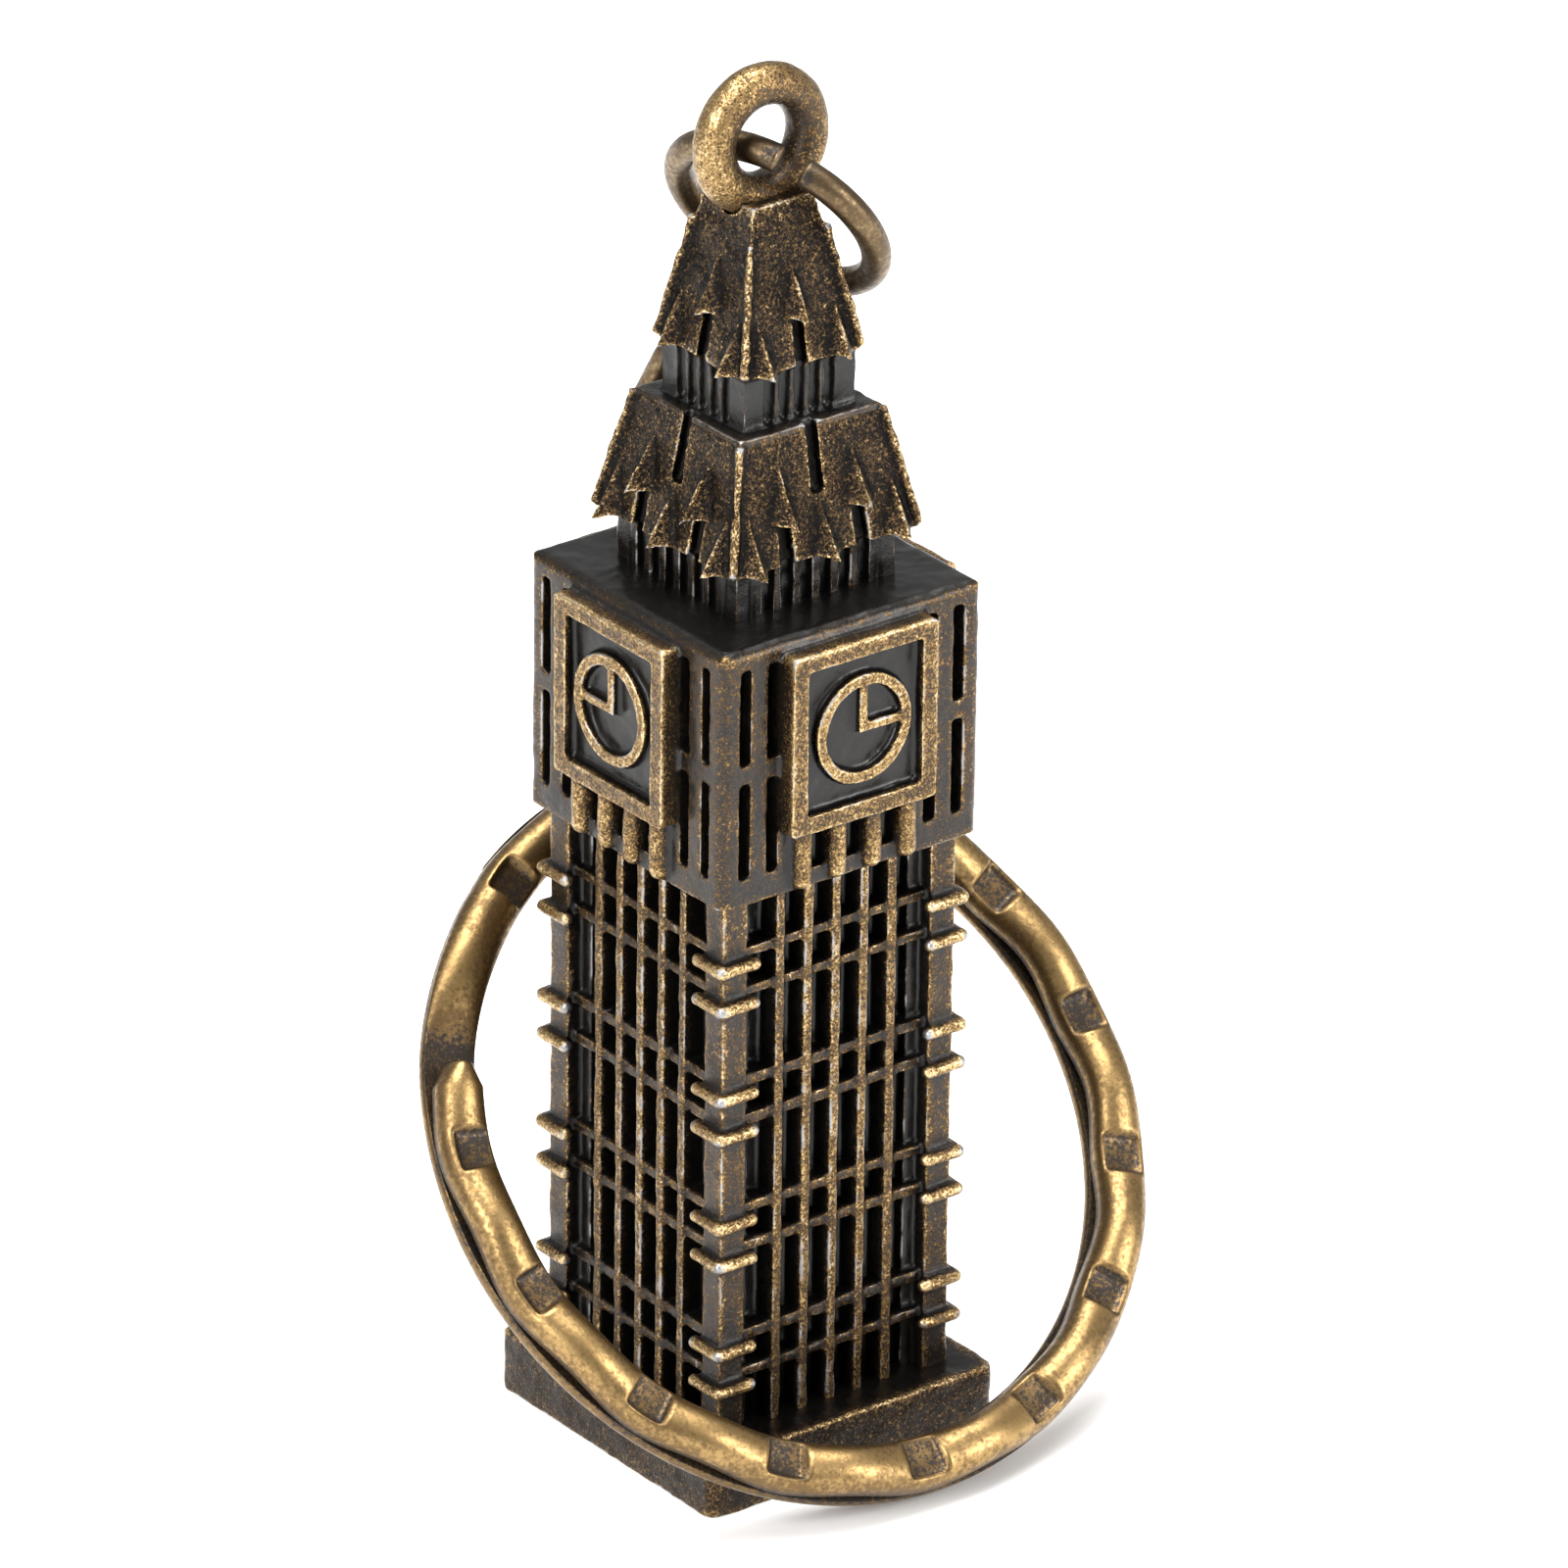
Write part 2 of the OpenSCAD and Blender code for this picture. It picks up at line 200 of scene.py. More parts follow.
NEAR = {"steps": 10, "fewest": 3, "full": 0.05}
FAR = {"steps": 70, "fewest": 8, "full": 0.16}
FINE_VOXEL = 0.1
# Uneven skin: size of the lumps in mm and the seed of each layer
WAVES, RIPPLES, GRAINS, PITS = (0.9, 11), (0.4, 12), (0.2, 13), (0.27, 14)
PIT_DEPTH = 0.02
INWARD = 0.8


def standing_out(co, n, edges, voxel, scale):
    """How far each vertex stands out of its surroundings, from -1 to 1.5 of the full height."""
    steps = max(scale["fewest"], round(scale["steps"] * (FINE_VOXEL / voxel) ** 2))
    height = np.sum((co - diffuse(co, edges, steps)) * n, axis=1)
    return np.clip(height / scale["full"], -1, 1.5)


def cast_section(name, nodes, outline, depth, voxel, soft=3, wobble=0.02, grit=0.006,
                 sunk=(), wear_and_side_light=0.0, gritty=0.0, grounds=(), most_faces=190000):
    """A section of the casting: fused, with soft edges, an uneven skin, and the wear that its
    material reads. outline(z) is the half width of the section's main faces at height z, and
    depth the distances behind them where the dark recesses begin and are full. worn and gritty
    are numbers or functions of the points: how rubbed and how rough the skin is; on the eye,
    worn also holds a painted highlight that makes its -X side lighter. grounds lists functions
    of the points that give 1 on a sunk ground and 0 elsewhere."""
    obj = fused_nodes(name, nodes, voxel, sunk)
    mesh = obj.data
    edges = edge_list(mesh)
    co = rounded(coordinates(mesh) / MM, edges, soft)
    set_coordinates(mesh, co * MM)
    n = normals(mesh)
    edge = standing_out(co, n, edges, voxel, NEAR)
    raised = standing_out(co, n, edges, voxel, FAR)
    gritty, wear_and_side_light = (spread(co) if callable(spread) else np.full(len(co), spread)
                    for spread in (gritty, wear_and_side_light))
    deep = smoothstep(depth[0], depth[1], outline(co[:, 2]) - larger_side(co))
    for ground in grounds:
        deep = np.maximum(deep, ground(co))
    skin = (wobble * lumps(co, *WAVES) + 0.5 * wobble * lumps(co, *RIPPLES)
            + grit * lumps(co, *GRAINS) + (grit + PIT_DEPTH * gritty) * lumps(co, *PITS))
    # drawn inwards, so that the uneven skin hardly passes the exact faces
    skin -= INWARD * wobble
    set_coordinates(mesh, (co + n * skin[:, None]) * MM)
    set_attribute(mesh, "edge", edge)
    set_attribute(mesh, "raised", raised)
    set_attribute(mesh, "deep", deep)
    set_attribute(mesh, "gritty", gritty)
    set_attribute(mesh, "wear_and_side_light", wear_and_side_light)
    triangles = 2 * len(mesh.polygons)
    if triangles > most_faces:
        thin = obj.modifiers.new("thin", "DECIMATE")
        thin.ratio = most_faces / triangles
        with_modifiers_applied(obj)
    shade_smooth(obj.data)
    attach(obj, "tower")
    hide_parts(*nodes)
    return obj


def flat_outline(half):
    return lambda z: np.full(len(z), half)


def slope_ends(node, z):
    """Half width of a roof node's sloping faces at height z, read from its corner points."""
    near = 0.01
    co = coordinates(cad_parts[node].data) / MM
    low, high = co[:, 2].min(), co[:, 2].max()
    half_low = np.abs(co[co[:, 2] < low + near, 0]).max()
    half_high = np.abs(co[co[:, 2] > high - near, 0]).max()
    return mixed(half_low, half_high, np.clip((z - low) / (high - low), 0, 1))


def roof_outline(z):
    """Half width up the necks and roofs."""
    gap = 0.02
    eaves, crown = node_span("lower_roof")
    spire_eaves = node_span("spire")[0]
    half = np.where(z < crown, slope_ends("lower_roof", z), slope_ends("spire", z))
    half = np.where(z < eaves - gap, node_half("belfry_neck"), half)
    on_lantern = (z > crown + gap) & (z < spire_eaves - gap)
    return np.where(on_lantern, node_half("lantern_neck"), half)


# How far the dial ring stands out of its panel, half the width of a frame's opening, and how
# far in from the frames' bottom and top the panel is looked for
DIAL_RELIEF = 0.4
FRAME_OPENING = 2.62
FRAME_MARGIN = 0.55


def clock_panel(co):
    """1 on the sunk panel behind a dial, and 0 on the frame, dial and hands."""
    proud = larger_side(co) - (node_half("clock_dials") - DIAL_RELIEF)
    low, high = node_span("clock_frames")
    inside = (co[:, 2] > low + FRAME_MARGIN) & (co[:, 2] < high - FRAME_MARGIN)
    across = smaller_side(co) < FRAME_OPENING
    return smoothstep(0.24, 0.14, proud) * (proud > -0.3) * inside * across


def shaft_wear(co):
    """How rubbed the shaft is: most on the bands, then on the pilasters' faces, and less down
    towards the plinth."""
    proud = larger_side(co) - node_half("corner_pilasters")
    on_band = smoothstep(0.08, 0.3, proud)
    on_pilaster = smoothstep(-0.2, -0.08, proud)
    low_down = smoothstep(11.0, 3.0, co[:, 2])
    return 0.5 * on_band + 0.2 * on_pilaster - 0.12 - 0.28 * low_down


def stage_wear(co):
    """How rubbed the clock stage is: most on the frames, dials and corbels, least on its top."""
    proud = larger_side(co) - node_half("clock_stage")
    beside_corner = smaller_side(co) - node_half("clock_stage")
    over = co[:, 2] - node_span("clock_stage")[1]
    relief = smoothstep(0.1, 0.45, proud)
    top = smoothstep(-0.25, -0.1, over) * smoothstep(-0.3, -0.8, proud)
    rim = smoothstep(-0.9, -0.2, over) * (1 - top)
    corner = smoothstep(-0.9, -0.3, beside_corner)
    return 0.42 + 0.2 * relief + 0.45 * corner + 0.4 * rim - 0.8 * top


ROOF_WEAR, NECK_WEAR = 0.1, -1.0


def roof_wear(co):
    """How rubbed the roofs are: hardly at all on the two ribbed necks."""
    z = co[:, 2]
    on_neck = np.zeros(len(z))
    for neck in ("belfry_neck", "lantern_neck"):
        low, high = node_span(neck)
        here = smoothstep(low - 0.3, low, z) * smoothstep(high + 0.05, high - 0.15, z)
        on_neck = np.maximum(on_neck, here)
    return mixed(ROOF_WEAR, NECK_WEAR, on_neck)


def roof_grit(co):
    """How gritty the skin is: 1 on the roofs and 0 on the smooth ribbed necks."""
    return np.clip(roof_wear(co) / ROOF_WEAR, 0, 1)


def eye_wear_and_side_light(co):
    """The eye is rubbed most on its outside and least inside its hole. Its -X side is also made
    lighter: a painted highlight where the light falls on that side.
    """
    low, high = (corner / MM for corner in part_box("hanging_eye"))
    middle = (low + high) / 2
    across, up = co[:, 0] - middle.x, co[:, 2] - middle.z
    wire = (high.y - low.y) / 2
    ring = (high.x - low.x) / 2 - wire
    outward = (np.hypot(across, up) - ring) / wire
    # the last term is painted light: it lightens the -X side of the eye
    return 0.55 + 0.4 * outward - 0.12 * across / ring


# Voxel of the detailed sections, in mm, and how far a section's end runs into its neighbour
DETAIL = 0.085
LAP = 0.5


def build_casting():
    plinth_top = node_span("plinth")[1]
    shaft_top = node_span("shaft_core")[1]
    stage_top = node_span("clock_stage")[1]
    return [
        cast_section("plinth_casting", ["plinth"],
                     flat_outline(node_half("plinth")), (0.3, 0.8), 0.14, wobble=0.045,
                     gritty=0.6, wear_and_side_light=0.05, most_faces=60000),
        cast_section("shaft_casting",
                     ["shaft_core", "corner_pilasters", "pilaster_bands", "window_lattice"],
                     flat_outline(node_half("window_lattice")), (0.1, 0.6),
                     DETAIL, soft=4, wobble=0.03, sunk=((plinth_top, -LAP), (shaft_top, LAP)),
                     wear_and_side_light=shaft_wear, gritty=0.25),
        cast_section("clock_stage_casting",
                     ["clock_stage", "clock_frames", "clock_dials", "clock_hands",
                      "frame_corbels"],
                     flat_outline(node_half("clock_stage")), (0.15, 0.5),
                     DETAIL, soft=4, wobble=0.03, gritty=0.1, wear_and_side_light=stage_wear,
                     grounds=(clock_panel,)),
        cast_section("roof_casting",
                     ["belfry_neck", "lower_roof", "lower_roof_dormers", "roof_ridges",
                      "lantern_neck", "spire", "spire_dormers"],
                     roof_outline, (0.12, 0.4), DETAIL, wobble=0.05,
                     gritty=roof_grit, wear_and_side_light=roof_wear, sunk=((stage_top, -LAP),)),
        cast_section("hanging_eye_casting", ["hanging_eye"], flat_outline(0),
                     (0.3, 0.8), 0.09, grit=0.003, wear_and_side_light=eye_wear_and_side_light, most_faces=60000),
    ]


# ---- wire pieces ----

def swept(name, sections, patina_and_shade, rub):
    """A capped tube through rings of points, in mm, one ring of equal count for each station,
    with the attributes that its material reads."""
    count = len(sections[0])
    last = (len(sections) - 1) * count
    faces = [tuple(range(count - 1, -1, -1)), tuple(range(last, last + count))]
    for here in range(0, last, count):
        for i in range(count):
            j = (i + 1) % count
            faces.append((here + i, here + j, here + count + j, here + count + i))
    obj = new_mesh_object(name, np.concatenate(sections) * MM, faces)
    shade_smooth(obj.data)
    set_attribute(obj.data, "patina_and_shade", patina_and_shade)
    set_attribute(obj.data, "rub", rub)
    return obj


def finish_wire(obj, body, nodes):
    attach(obj, body)
    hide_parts(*nodes)


def turned(axis, degrees):
    return np.array(Matrix.Rotation(math.radians(degrees), 3, axis))


def stations_along(length, ends, count):
    """Distances along a wire: some close to both ends, and the rest evenly between them."""
    first = ends[-1]
    even = np.linspace(first, length - first, count)
    return np.concatenate([ends[:-1], even, [length - end for end in ends[-2::-1]]])


def round_ring(angle, r, up):
    """Points at distances r from a ring's axis and up along it, at one angle round it."""
    return np.stack([r * math.cos(angle), r * math.sin(angle), up], 1)


# The jump ring, in mm and degrees: its centre, how it is turned, where its wire starts and how
# far round it runs, to the middle of the wire
JUMP = {"centre": (1.68, 1.13, 48.27), "tilt": 56.3, "heading": 20, "start": 214, "sweep": 346,
        "radius": 4.06, "wire": 0.56}


# Its snipped ends are pinched over a length, and their rims are broken by a share of the wire
PINCH = {"share": 0.16, "length": 1.3}
RIM = {"share": 0.2, "length": 0.09}


def build_jump_ring():
    axes = turned("Z", JUMP["heading"]) @ turned("Y", JUMP["tilt"])
    length = math.radians(JUMP["sweep"]) * JUMP["radius"]
    around = np.linspace(0, 2 * math.pi, 33)[:-1]
    sections, ends = [], []
    for s in stations_along(length, [0.0, 0.012, 0.04, 0.09, 0.15], 260):
        angle = math.radians(JUMP["start"]) + s / JUMP["radius"]
        from_end = min(s, length - s)
        pinch = 1 - PINCH["share"] * (1 - smoothstep(0.0, PINCH["length"], np.array(from_end)))
        rim = 1 - RIM["share"] * max(0.0, 1 - from_end / RIM["length"]) ** 2
        across = JUMP["wire"] * pinch * rim * np.cos(around)
        up = JUMP["wire"] * rim * np.sin(around)
        section = round_ring(angle, JUMP["radius"] + across, up)
        sections.append(section @ axes.T + np.array(JUMP["centre"]))
        ends += [from_end] * len(around)
    # dark just behind each cut, and bright on the cut's rim
    ends = np.array(ends)
    patina_and_shade = 0.6 * smoothstep(0.8, 0.2, ends) * smoothstep(0.03, 0.1, ends)
    rub = 1.2 * smoothstep(0.1, 0.02, ends)
    obj = swept("jump_ring_wire", sections, patina_and_shade, rub)
    finish_wire(obj, "jump_ring", ["jump_ring"])
    return obj


# The split ring, in mm and degrees: its centre and tilt, where the wire starts, how long the
# crossover is and how far round the wire runs, the wire's width and thickness, the gap between
# its coils, and its radius to the middle of the wire
KEY = {"centre": (1.37, -1.01, 12.15), "tilt": 46.5, "start": 155, "step": 26, "turns": 688,
       "width": 2.05, "coil": 1.46, "gap": 0.05, "mid": 13.975}
# Its notches: the first one's angle and the next ones' pitch, half a notch's length, the blur
# of its ends, its depth, how far it waves the wire up and down, and how much it widens it
NOTCH = {"first": 14.0, "pitch": 24.04, "half": 0.76, "blur": 0.09, "depth": 0.4,
         "wave": 0.16, "spread": 0.09}
# Its tips: the share of the width that is left, and the lengths of the taper and of the rim
TIP = {"width": 0.46, "taper": 0.9, "rim": 0.12, "rim_share": 0.35}
# Its back: the height of its edge as a share of the thickness, and how square the dome is
BACK = {"edge": 0.28, "power": 2.3}


def key_section(s, total):
    """One section of the key ring's wire, s along it: points across and up, how dark each one is
    (dark patina in the pressed notches, and painted shade on the flat sides that lie between the
    coils) and how rubbed each one is. The upper coil has its round back up; at the crossover the
    wire is round both ways; the lower coil, with its back down, is plain."""
    a = math.degrees(s / KEY["mid"])
    crossing = float(smoothstep(360 - KEY["step"], 360, np.array(a)))
    from_crossing = abs(a - 360 + KEY["step"] / 2) - KEY["step"] / 2
    upper = float(smoothstep(1, 5, np.array(from_crossing))) * (a < 360)
    phase = (a - NOTCH["first"]) / NOTCH["pitch"]
    along = (phase - round(phase)) * math.radians(NOTCH["pitch"]) * KEY["mid"]
    press = upper * float(smoothstep(NOTCH["half"] + NOTCH["blur"],
                                     NOTCH["half"] - NOTCH["blur"], np.array(abs(along))))
    wave = 1 - upper * (0.5 - 0.5 * math.cos(2 * math.pi * phase))

    from_end = min(s, total - s)
    rim = 1 - TIP["rim_share"] * max(0.0, 1 - from_end / TIP["rim"])
    half_width = KEY["width"] / 2 * (1 - NOTCH["spread"] * (1 - wave))
    half_width *= mixed(TIP["width"], 1, min(1.0, from_end / TIP["taper"]))
    thick = (KEY["coil"] - 2 * NOTCH["wave"]) * rim
    bottom = -KEY["coil"] / 2 + 2 * NOTCH["wave"] * (1 - wave)

    def back_height(u):
        arch = np.clip(1 - np.abs(u) ** BACK["power"], 0, 1) ** 0.5
        return bottom + thick * mixed(BACK["edge"], 1, arch)

    over = np.sin(np.linspace(-math.pi / 2, math.pi / 2, 27))
    under = over[-2:0:-1]
    dome = back_height(over)
    # a notch runs from the wire's inner edge to three quarters of its width
    floor = bottom + thick - NOTCH["depth"] + 0.05 * np.abs(over)
    pressed = mixed(dome, np.minimum(dome, floor), press * smoothstep(0.74, 0.5, over))
    upper_side = mixed(pressed, np.full(len(over), -bottom), crossing)
    lower_side = mixed(np.full(len(under), bottom), -back_height(under), crossing)
    level = -(KEY["coil"] + KEY["gap"]) * crossing
    pushed = np.clip((dome - pressed) / 0.12, 0, 1)
    back_down = float(smoothstep(0.6, 1, np.array(crossing)))
    flat = np.concatenate([np.full(len(over), back_down), np.full(len(under), 1 - back_down)])
    # dark patina in the pressed notches, plus painted shade on the flat side that lies against
    # the other coil
    patina_and_shade = np.concatenate([0.75 * pushed, np.zeros(len(under))]) + 0.9 * flat
    rub = np.concatenate([1 - pushed, np.ones(len(under))]) * (1 - flat)
    rub *= 1 - np.abs(np.concatenate([over, under])) ** 3
    across = np.concatenate([over, under]) * half_width
    return a, across, np.concatenate([upper_side, lower_side]) + level, patina_and_shade, rub


def build_split_ring():
    """Two coils of half-round wire, flat sides together, with square notches pressed into the
    upper back. Each notch has pushed the wire down and out a little."""
    tilt = turned("X", KEY["tilt"])
    total = math.radians(KEY["turns"]) * KEY["mid"]
    count = 1500
    sections, patina_and_shade, rub = [], [], []
    for s in stations_along(total, [0.0, 0.02, 0.06, 0.12], count):
        # deep holds the dark patina in the notches and the painted shade on the flat sides
        # between the coils
        a, across, up, deep, bright = key_section(s, total)
        section = round_ring(math.radians(KEY["start"] + a), KEY["mid"] + across, up)
        sections.append(section @ tilt.T + np.array(KEY["centre"]))
        patina_and_shade.append(deep)
        rub.append(bright)
    obj = swept("split_ring_wire", sections, np.concatenate(patina_and_shade), np.concatenate(rub))
    finish_wire(obj, "split_ring", ["split_ring"])
    return obj


# ---- materials ----

class Nodes:
    """Short calls for building a node tree."""

    def __init__(self, name):
        self.material = bpy.data.materials.new(name)
        self.material.use_nodes = True
        self.tree = self.material.node_tree
        self.shader = self.tree.nodes["Principled BSDF"]
        self.place = self.tree.nodes.new("ShaderNodeTexCoord").outputs["Object"]

    def put(self, socket, value):
        if isinstance(value, bpy.types.NodeSocket):
            self.tree.links.new(value, socket)
        else:
            socket.default_value = value

    def attribute(self, name):
        node = self.tree.nodes.new("ShaderNodeAttribute")
        node.attribute_name = name
        return node.outputs["Fac"]

    def math(self, operation, *values):
        node = self.tree.nodes.new("ShaderNodeMath")
        node.operation = operation
        for socket, value in zip(node.inputs, values):
            self.put(socket, value)
        return node.outputs[0]

    def add(self, *values):
        total = values[0]
        for value in values[1:]:
            total = self.math("ADD", total, value)
        return total

    def times(self, a, b):
        return self.math("MULTIPLY", a, b)

    def swing(self, noise, strength):
        """A noise moved to vary evenly about zero, times strength."""
        return self.times(self.add(noise, -0.5), strength)

    def noise(self, size, detail, rough, shift):
        """Noise from 0 to 1 whose grains are about size mm across."""
        node = self.tree.nodes.new("ShaderNodeTexNoise")
        node.noise_dimensions = "4D"
        self.put(node.inputs["Vector"], self.place)
        node.inputs["W"].default_value = shift
        node.inputs["Scale"].default_value = 0.6 / (size * MM)
        node.inputs["Detail"].default_value = detail
        node.inputs["Roughness"].default_value = rough
        return node.outputs["Fac"]

    def ramp(self, value, low, high, out_low=0.0, out_high=1.0):
        node = self.tree.nodes.new("ShaderNodeMapRange")
        node.interpolation_type = "SMOOTHSTEP"
        for name, number in (("From Min", low), ("From Max", high),
                             ("To Min", out_low), ("To Max", out_high)):
            self.put(node.inputs[name], number)
        self.put(node.inputs["Value"], value)
        return node.outputs["Result"]

    def mix(self, share, a, b):
        node = self.tree.nodes.new("ShaderNodeMix")
        node.data_type = "RGBA"
        self.put(node.inputs[0], share)
        for socket, value in ((node.inputs[6], a), (node.inputs[7], b)):
            self.put(socket, value if isinstance(value, bpy.types.NodeSocket) else (*value, 1))
        return node.outputs[2]

    def blend(self, share, a, b):
        node = self.tree.nodes.new("ShaderNodeMix")
        node.data_type = "FLOAT"
        self.put(node.inputs[0], share)
        self.put(node.inputs[2], a)
        self.put(node.inputs[3], b)
        return node.outputs[0]

    def bump(self, height, distance, strength):
        node = self.tree.nodes.new("ShaderNodeBump")
        node.inputs["Strength"].default_value = strength
        node.inputs["Distance"].default_value = distance * MM
        self.put(node.inputs["Height"], height)
        self.put(self.shader.inputs["Normal"], node.outputs["Normal"])

    def set(self, **values):
        for name, value in values.items():
            self.put(self.shader.inputs[name.replace("_", " ")], value)


# The patina's colours, from untouched to rubbed through, and where each one comes in
BLACK = (0.0045, 0.0038, 0.0032)
BROWN = (0.018, 0.012, 0.0075)
BRONZE = (0.075, 0.046, 0.023)
BRASS = (0.235, 0.148, 0.060)
PALE_BRASS = (0.60, 0.45, 0.24)
ZINC = (0.30, 0.30, 0.31)
BROWN_AT, BRONZE_AT, BRASS_AT, PALE_AT = (-0.25, 0.04), (0.02, 0.24), (0.24, 0.44), (0.52, 0.86)
GRITTY_BRASS_FULL = 0.62


def cast_material():
    """Black-brown patina over plated zinc: brass grains on the faces, rubbed edges, and bare
    zinc where the corners are sharpest."""
    n = Nodes("antique_bronze_casting")
    edge, raised, wear_and_side_light = n.attribute("edge"), n.attribute("raised"), n.attribute("wear_and_side_light")
    deep, gritty = n.attribute("deep"), n.attribute("gritty")
    grain = n.noise(0.10, 3.0, 0.7, 1.0)
    fine = n.noise(0.05, 2.0, 0.6, 2.0)
    patch = n.noise(0.8, 3.0, 0.55, 3.0)
    cloud = n.noise(2.6, 2.0, 0.5, 4.0)

    # how far the patina is rubbed off: mostly by shape, broken up by the grain; the worn term
    # also brings in the eye's painted highlight on its -X side
    shape = n.add(n.times(edge, n.blend(gritty, 0.34, 0.48)), n.times(raised, 0.13),
                  n.times(wear_and_side_light, 0.35), n.times(deep, -0.45))
    speckle = n.blend(gritty, 1.0, 1.7)
    mottled = n.add(shape, n.times(n.swing(grain, 1.3), speckle),
                    n.times(n.swing(fine, 1.5), speckle), n.swing(patch, 0.6),
                    n.times(gritty, -0.04))
    brown_share = n.ramp(mottled, *BROWN_AT)
    bronze_share = n.ramp(mottled, *BRONZE_AT)
    brass_full = n.blend(gritty, BRASS_AT[1], GRITTY_BRASS_FULL)
    brass_share = n.ramp(mottled, BRASS_AT[0], brass_full)
    pale_share = n.ramp(mottled, *PALE_AT)
    bare = n.times(n.ramp(edge, 0.75, 1.1), n.ramp(patch, 0.47, 0.55))

    colour = n.mix(brown_share, BLACK, BROWN)
    colour = n.mix(bronze_share, colour, BRONZE)
    colour = n.mix(brass_share, colour, BRASS)
    colour = n.mix(pale_share, colour, PALE_BRASS)
    colour = n.mix(bare, colour, ZINC)

    metal = n.blend(bronze_share, n.blend(gritty, 0.35, 0.9), 1.0)
    smooth_rough = n.ramp(cloud, 0.35, 0.65, 0.24, 0.34)
    rough = n.blend(brass_share, n.blend(gritty, smooth_rough, 0.36),
                    n.ramp(grain, 0.3, 0.7, 0.44, 0.30))
    height = n.add(n.times(grain, n.blend(gritty, 0.5, 1.3)),
                   n.times(fine, n.blend(gritty, 0.35, 0.9)), n.times(brass_share, 0.25))
    n.bump(n.times(height, n.blend(deep, 1.0, 0.3)), 0.05, 0.9)
    n.set(Base_Color=colour, Metallic=metal, Roughness=rough)
    return n.material


WIRE_SPECK = 0.7


def wire_material(name, base, pale, dark, bump):
    """Satin bronze wire with brighter rubbed streaks, dark patina in the creases, and painted
    shade on the key ring's flat sides that lie between its coils.
    """
    n = Nodes(name)
    patina_and_shade, rub = n.attribute("patina_and_shade"), n.attribute("rub")
    grain = n.noise(0.11, 3.0, 0.65, 5.0)
    fine = n.noise(0.06, 2.0, 0.6, 6.0)
    patch = n.noise(1.1, 3.0, 0.6, 7.0)
    tone = n.add(n.swing(grain, 0.9), n.swing(patch, 0.6), n.times(rub, 0.16),
                 n.times(patina_and_shade, -0.34))
    light = n.ramp(tone, -0.05, 0.26)
    # the dark share: patina in the creases, fine dark grains, and painted shade on the key
    # ring's flat sides between its coils
    patina_and_shade_share = n.ramp(n.add(tone, n.swing(fine, WIRE_SPECK)), -0.10, -0.34)
    colour = n.mix(light, base, pale)
    colour = n.mix(patina_and_shade_share, colour, dark)
    n.set(Base_Color=colour, Metallic=n.blend(patina_and_shade_share, 1.0, 0.5),
          Roughness=n.blend(light, n.ramp(grain, 0.3, 0.7, 0.46, 0.34), 0.33))
    n.bump(n.add(n.times(grain, 0.6), n.times(fine, 0.5), n.times(patch, 0.8)), bump, 0.7)
    return n.material


def floor_material():
    n = Nodes("pale_floor")
    n.set(Base_Color=n.mix(n.noise(40.0, 2.0, 0.5, 8.0), (0.90, 0.90, 0.90), (0.93, 0.93, 0.93)),
          Roughness=0.7)
    return n.material


def give(obj, material):
    obj.data.materials.clear()
    obj.data.materials.append(material)


# ---- camera, floor and light ----

# The photograph's viewpoint, in degrees and mm
CAMERA = {"azimuth": -37.461, "elevation": 25.454, "roll": 0.719, "distance": 500.91,
          "right": 1.146, "up": 0.381, "look_height": 25.6, "lens": 309.54, "sensor": 36}


def make_camera():
    az, el, roll = (math.radians(CAMERA[k]) for k in ("azimuth", "elevation", "roll"))
    back = Vector((math.sin(az) * math.cos(el), -math.cos(az) * math.cos(el), math.sin(el)))
    level = Vector((math.cos(az), math.sin(az), 0))
    up = back.cross(level)
    right = math.cos(roll) * level + math.sin(roll) * up
    top = math.cos(roll) * up - math.sin(roll) * level
    data = bpy.data.cameras.new("camera")
    camera = bpy.data.objects.new("camera", data)
    bpy.context.scene.collection.objects.link(camera)
    data.lens = CAMERA["lens"]
    data.sensor_width = CAMERA["sensor"]
    place = (Vector((0, 0, CAMERA["look_height"])) + back * CAMERA["distance"]
             + right * CAMERA["right"] + top * CAMERA["up"]) * MM
    turn = Matrix((right, top, back)).transposed().to_4x4()
    camera.matrix_world = Matrix.Translation(place) @ turn
    data.clip_start, data.clip_end = 0.01, 20
    bpy.context.scene.camera = camera


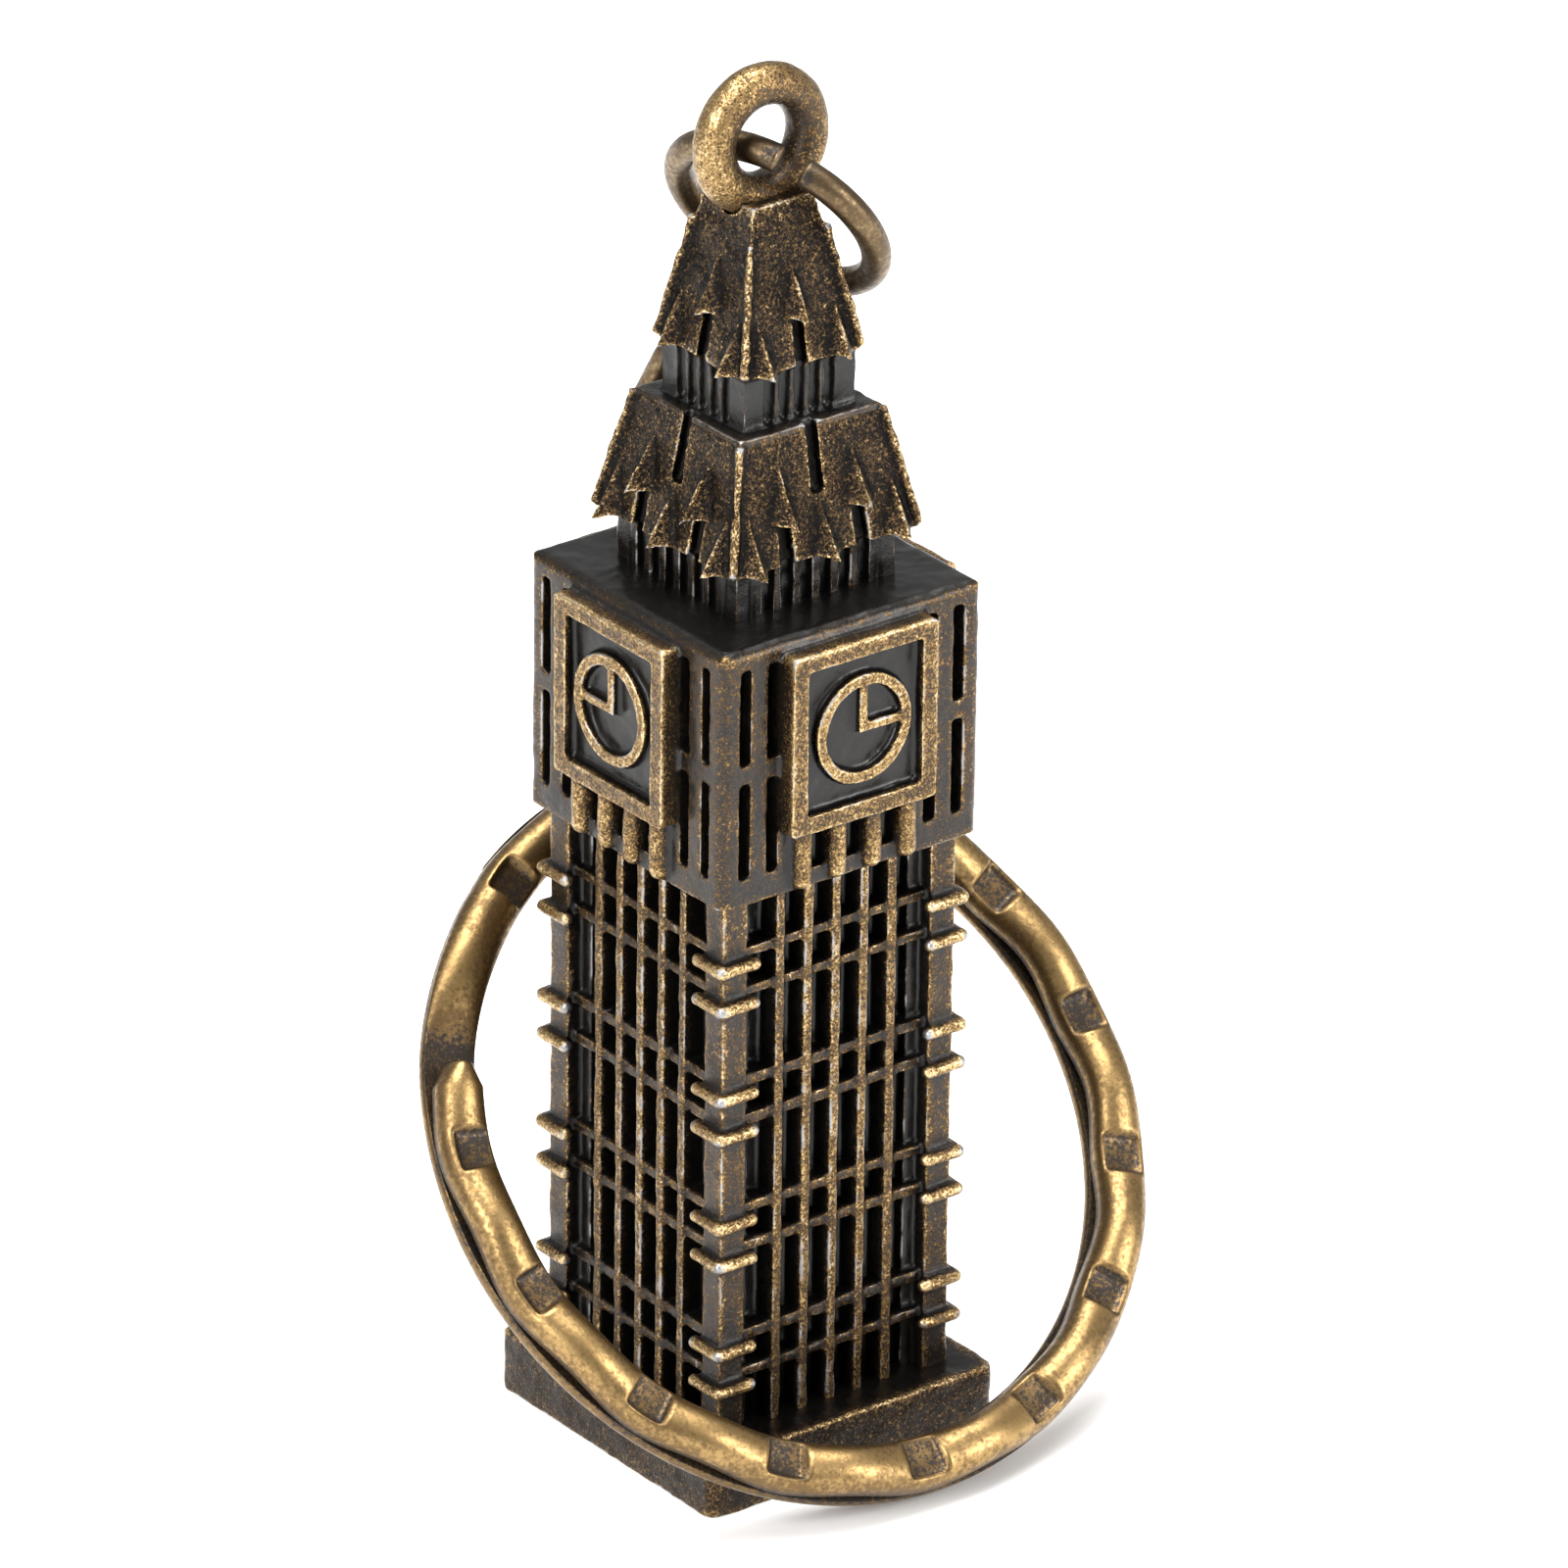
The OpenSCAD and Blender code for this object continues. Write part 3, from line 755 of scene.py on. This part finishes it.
FLOOR_HALF = 3.0


def make_floor():
    half = FLOOR_HALF
    floor = new_mesh_object("floor", [(-half, -half, 0), (half, -half, 0), (half, half, 0),
                                      (-half, half, 0)], [(0, 1, 2, 3)])
    give(floor, floor_material())


# Each softbox: its place and size in metres, and its power in watts
SOFTBOXES = {
    "top_softbox": ((0.02, 0.0, 0.42), (0.34, 0.34), 3.4),
    "left_softbox": ((-0.42, -0.12, 0.26), (0.2, 0.34), 2.4),
    "right_softbox": ((0.26, -0.46, 0.2), (0.2, 0.34), 2.4),
}
LIT_POINT = (0, 0, 0.027)
SKY_STRENGTH = 0.55


def area_light(name, place, size, watts):
    data = bpy.data.lights.new(name, "AREA")
    data.shape = "RECTANGLE"
    data.size, data.size_y = size
    data.energy = watts
    light = bpy.data.objects.new(name, data)
    light.location = place
    light.rotation_mode = "QUATERNION"
    light.rotation_quaternion = (Vector(LIT_POINT) - Vector(place)).to_track_quat("-Z", "Y")
    bpy.context.scene.collection.objects.link(light)


def make_light():
    world = bpy.data.worlds.new("studio")
    bpy.context.scene.world = world
    world.use_nodes = True
    background = world.node_tree.nodes["Background"]
    background.inputs["Color"].default_value = (1, 1, 1, 1)
    background.inputs["Strength"].default_value = SKY_STRENGTH
    for name, (place, size, watts) in SOFTBOXES.items():
        area_light(name, place, size, watts)
    bpy.context.scene.view_settings.view_transform = "Standard"


# ---- the scene ----

make_camera()
make_floor()
make_light()

cast_look = cast_material()
for piece in build_casting():
    give(piece, cast_look)

ring_look = wire_material("satin_ring_bronze", base=(0.10, 0.068, 0.038),
                          pale=(0.23, 0.165, 0.090), dark=(0.015, 0.011, 0.008), bump=0.015)
key_look = wire_material("satin_key_ring_bronze", base=(0.145, 0.092, 0.041),
                         pale=(0.33, 0.215, 0.088), dark=(0.018, 0.012, 0.008), bump=0.02)
give(build_jump_ring(), ring_look)
give(build_split_ring(), key_look)
for name in ("chain_link_1", "chain_link_2", "chain_link_3", "chain_link_4", "connector_ring"):
    give(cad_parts[name], ring_look)
